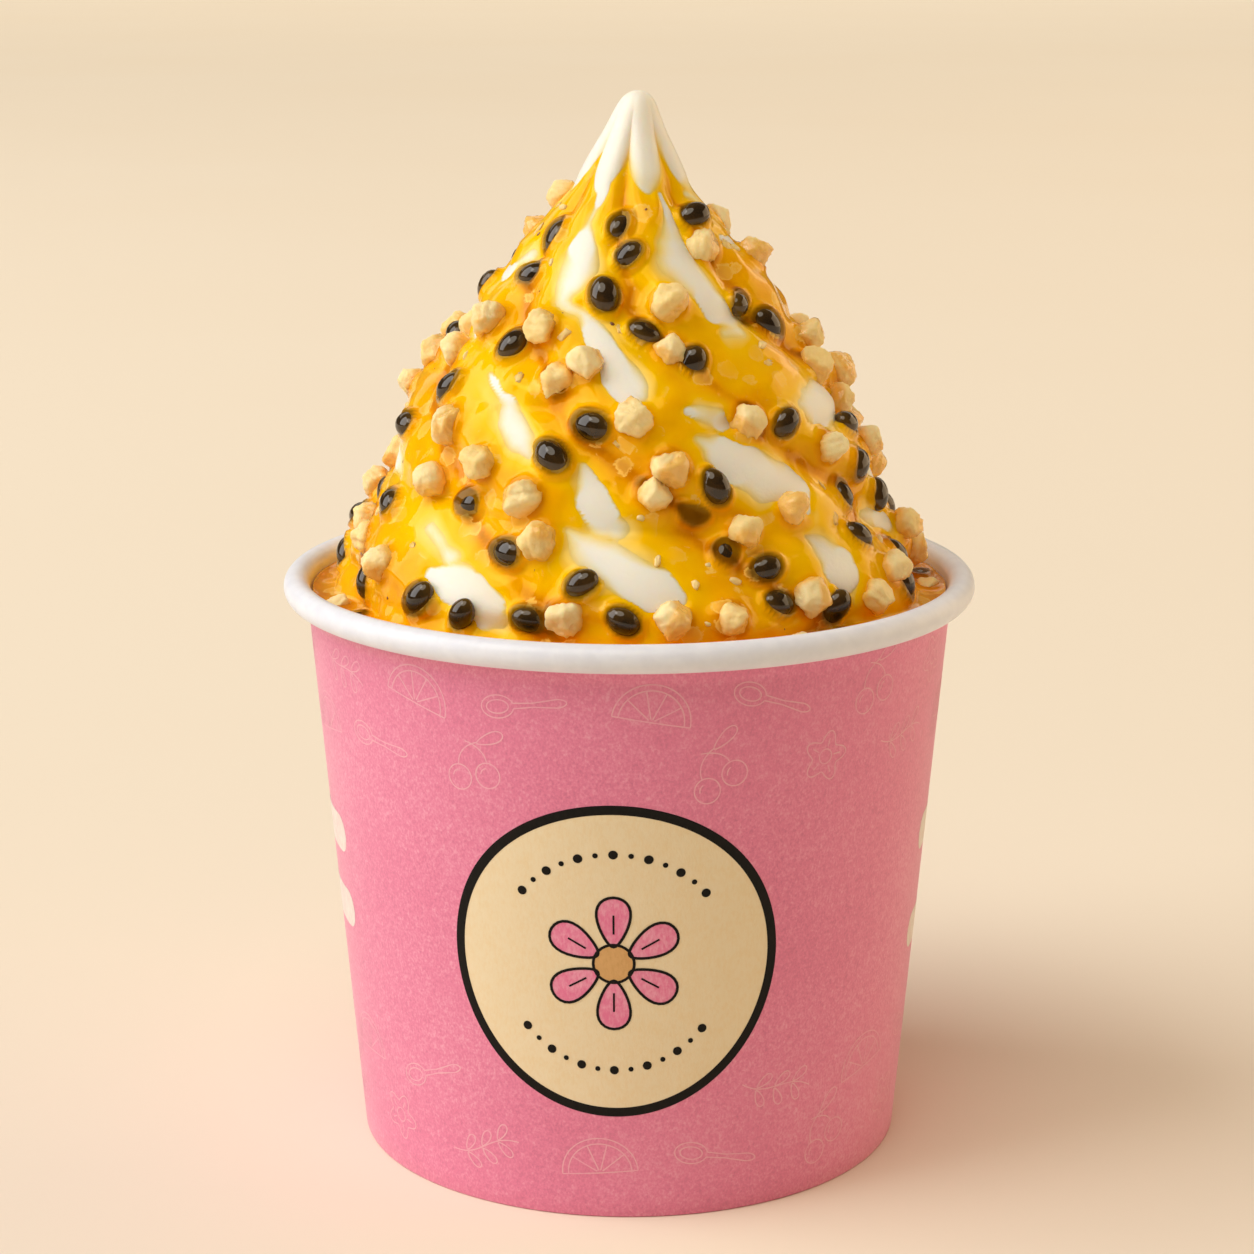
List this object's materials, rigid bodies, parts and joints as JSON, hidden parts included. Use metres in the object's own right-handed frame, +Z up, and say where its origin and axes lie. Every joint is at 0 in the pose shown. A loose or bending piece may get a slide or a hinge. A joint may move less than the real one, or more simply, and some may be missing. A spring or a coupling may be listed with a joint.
{
  "type": "ice cream sundae",
  "caption": "Tall twisted cone of soft serve in a straight-sided paper cup, under fruit sauce, seeds and chopped nuts, with a pool of sauce round its foot.",
  "frame": {"origin": "centre of the cup's foot, on the surface that it stands on", "axes": "+Z up through the tip of the soft serve, -Y towards the front with the printed badge"},
  "size_m": [0.097, 0.097, 0.1479],
  "materials": {
    "printed_board": "pink print on board, faintly mottled, matt",
    "plain_board": "white coated board, softly glossy",
    "soft_serve": "cold smooth soft serve, slightly wet",
    "sauce": "clear yellow-orange fruit sauce, wet gloss",
    "seed": "black-brown wet seeds",
    "nut": "pale tan chopped nuts, dry and grainy",
    "badge": "cream and black print on the board"
  },
  "bodies": {
    "root": {"cup_wall": "printed_board", "cup_bottom": "plain_board", "soft_serve": "soft_serve", "sauce_pool": "sauce"}
  },
  "joints": []
}
